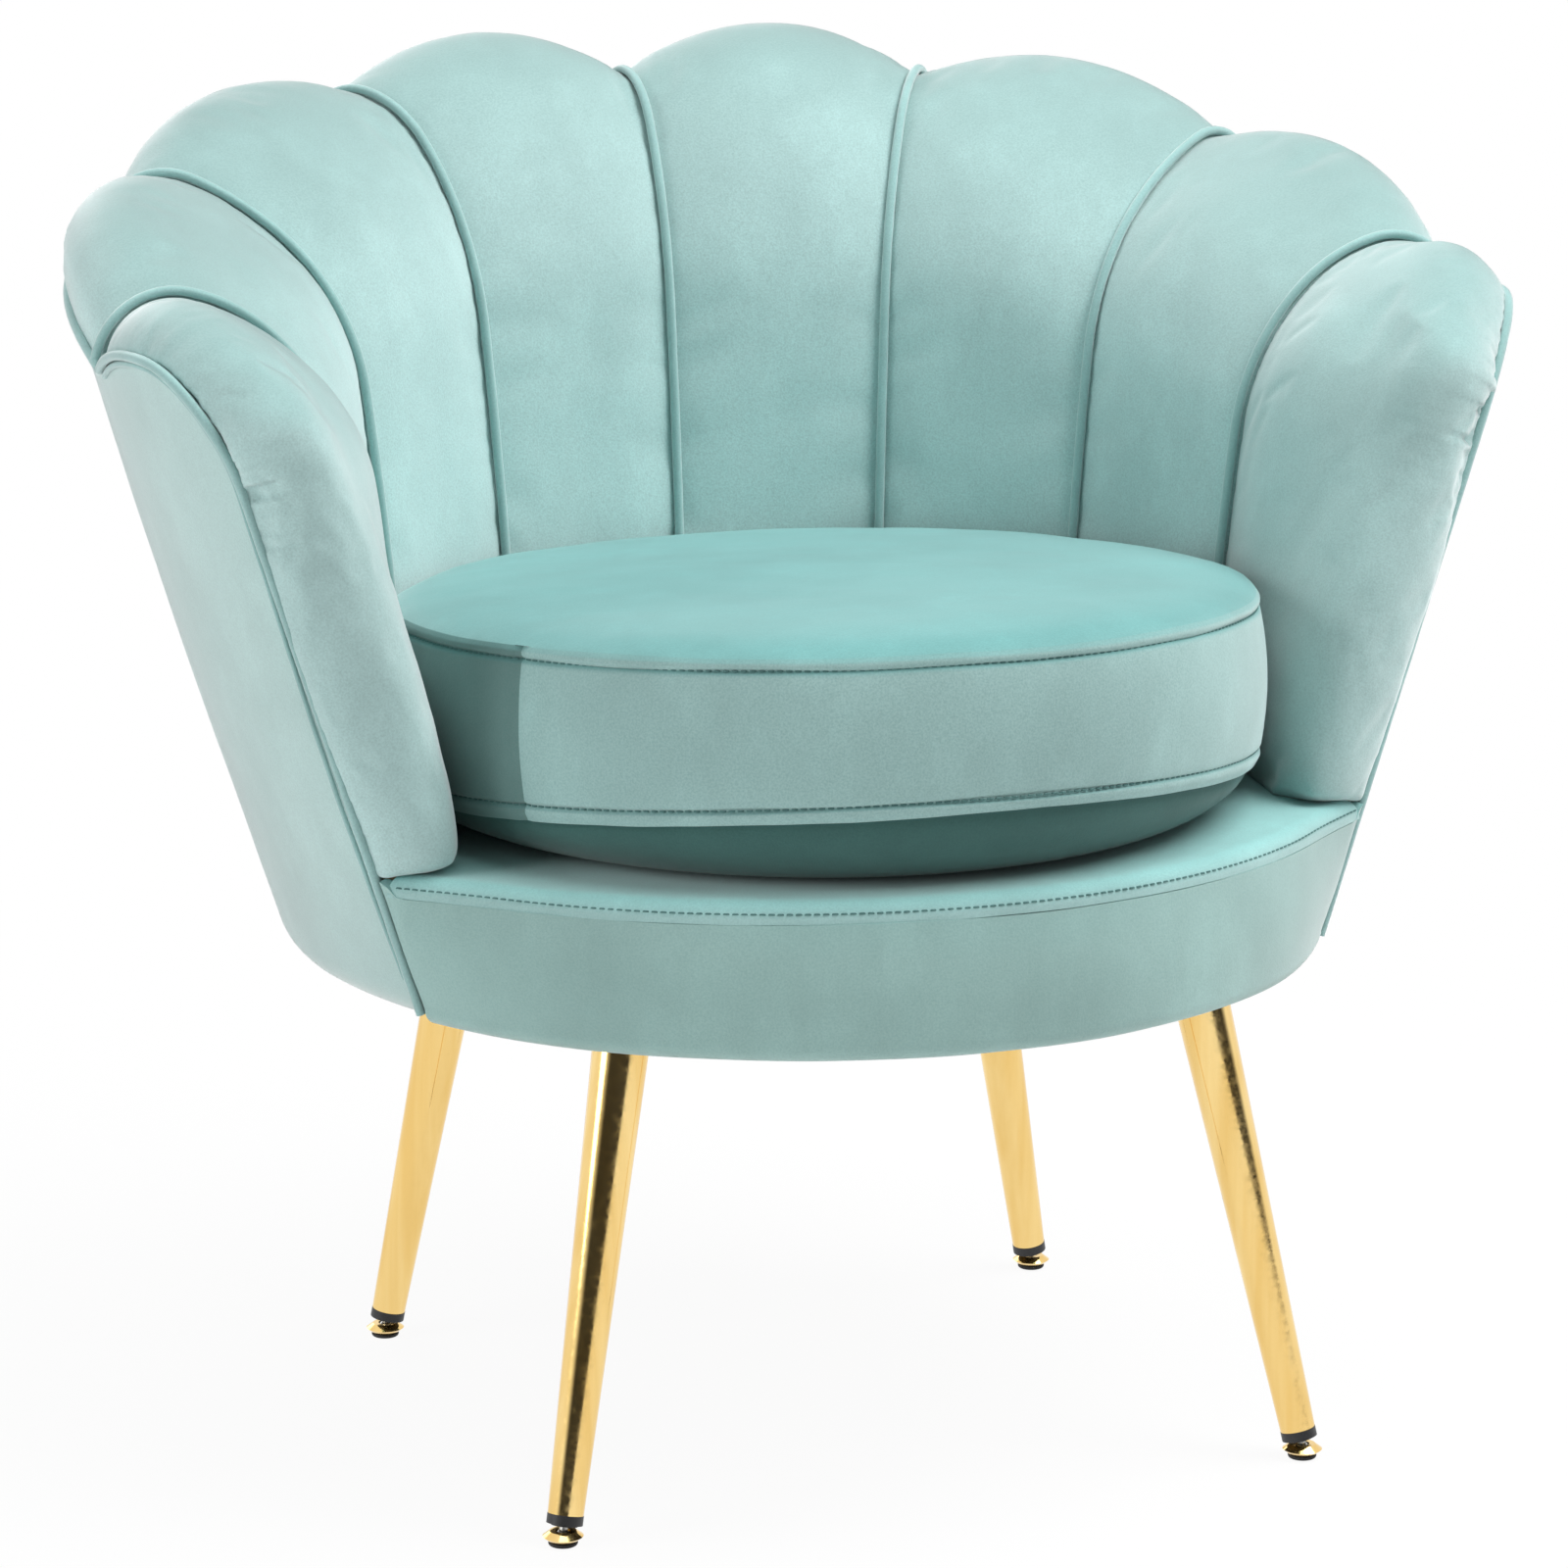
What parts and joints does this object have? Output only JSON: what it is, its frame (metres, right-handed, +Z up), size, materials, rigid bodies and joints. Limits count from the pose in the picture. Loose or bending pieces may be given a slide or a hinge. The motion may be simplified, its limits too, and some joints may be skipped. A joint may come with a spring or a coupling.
{
  "type": "tub armchair",
  "caption": "Low tub armchair with a scalloped shell of padded petals, a loose round cushion and splayed tapered tube legs on levelling feet.",
  "frame": {"origin": "middle of the footprint box on the floor", "axes": "+X to the right as seen from the front, +Y to the back of the chair, +Z up; it faces -Y"},
  "size_m": [0.8212, 0.6769, 0.7611],
  "materials": {
    "velvet": "short-pile aqua velvet",
    "velvet_cord": "aqua velvet over cord",
    "plywood": "bare bent plywood",
    "timber": "bare sawn timber",
    "webbing": "woven elastic webbing",
    "dust_cloth": "black nonwoven cloth",
    "black_steel": "black enamel",
    "zinc_steel": "zinc plated",
    "gold": "polished gold plating",
    "black_plastic": "matt black",
    "pad_rubber": "matt black"
  },
  "bodies": {
    "frame": {"arm_petal_left": "velvet", "arm_petal_right": "velvet", "arm_welt_left": "velvet_cord", "arm_welt_right": "velvet_cord", "back_shell": "plywood", "base_board": "plywood", "dust_cover": "dust_cloth", "edge_welt_back": "velvet_cord", "ferrule_back_left": "black_plastic", "ferrule_back_right": "black_plastic", "ferrule_front_left": "black_plastic", "ferrule_front_right": "black_plastic", "front_band": "velvet", "leg_back_left": "gold", "leg_back_right": "gold", "leg_front_left": "gold", "leg_front_right": "gold", "leg_plate_back_left": "black_steel", "leg_plate_back_right": "black_steel", "leg_plate_front_left": "black_steel", "leg_plate_front_right": "black_steel", "leg_screws": "zinc_steel", "outer_panel": "velvet", "petal_1_left": "velvet", "petal_1_right": "velvet", "petal_2_left": "velvet", "petal_2_right": "velvet", "petal_3_left": "velvet", "petal_3_right": "velvet", "piping_1_left": "velvet_cord", "piping_1_right": "velvet_cord", "piping_2_left": "velvet_cord", "piping_2_right": "velvet_cord", "piping_3_left": "velvet_cord", "piping_3_right": "velvet_cord", "piping_centre": "velvet_cord", "seat_deck": "velvet", "seat_rail_back": "timber", "seat_rail_front": "timber", "seat_rail_left": "timber", "seat_rail_right": "timber", "webbing_crosswise": "webbing", "webbing_lengthwise": "webbing"},
    "cushion": {"seat_cushion": "velvet"},
    "stem_front_right": {"leveller_stem_front_right": "zinc_steel"},
    "foot_front_right": {"leveller_cup_front_right": "gold", "leveller_pad_front_right": "pad_rubber"},
    "stem_front_left": {"leveller_stem_front_left": "zinc_steel"},
    "foot_front_left": {"leveller_cup_front_left": "gold", "leveller_pad_front_left": "pad_rubber"},
    "stem_back_right": {"leveller_stem_back_right": "zinc_steel"},
    "foot_back_right": {"leveller_cup_back_right": "gold", "leveller_pad_back_right": "pad_rubber"},
    "stem_back_left": {"leveller_stem_back_left": "zinc_steel"},
    "foot_back_left": {"leveller_cup_back_left": "gold", "leveller_pad_back_left": "pad_rubber"}
  },
  "joints": [
    {"name": "cushion_lift", "type": "slide", "parent": "frame", "child": "cushion", "axis": [0, 0, 1], "range_m": [0, 0.45]},
    {"name": "screw_out_front_right", "type": "slide", "parent": "frame", "child": "stem_front_right", "axis": [0.1812, -0.161, -0.9702], "range_m": [0, 0.01]},
    {"name": "tilt_front_right", "type": "hinge", "parent": "stem_front_right", "child": "foot_front_right", "pos_m": [0.2183, -0.26778, 0.005], "axis": [-0.6643, -0.7475, 0], "range_deg": [-1, 28]},
    {"name": "screw_out_front_left", "type": "slide", "parent": "frame", "child": "stem_front_left", "axis": [-0.1812, -0.161, -0.9702], "range_m": [0, 0.01]},
    {"name": "tilt_front_left", "type": "hinge", "parent": "stem_front_left", "child": "foot_front_left", "pos_m": [-0.2183, -0.26778, 0.005], "axis": [-0.6643, 0.7475, 0], "range_deg": [-1, 28]},
    {"name": "screw_out_back_right", "type": "slide", "parent": "frame", "child": "stem_back_right", "axis": [0.1765, 0.0696, -0.9818], "range_m": [0, 0.01]},
    {"name": "tilt_back_right", "type": "hinge", "parent": "stem_back_right", "child": "foot_back_right", "pos_m": [0.2086, 0.12062, 0.005], "axis": [0.3671, -0.9302, 0], "range_deg": [-4.1, 24.9]},
    {"name": "screw_out_back_left", "type": "slide", "parent": "frame", "child": "stem_back_left", "axis": [-0.1765, 0.0696, -0.9818], "range_m": [0, 0.01]},
    {"name": "tilt_back_left", "type": "hinge", "parent": "stem_back_left", "child": "foot_back_left", "pos_m": [-0.2086, 0.12062, 0.005], "axis": [0.3671, 0.9302, 0], "range_deg": [-4.1, 24.9]}
  ]
}
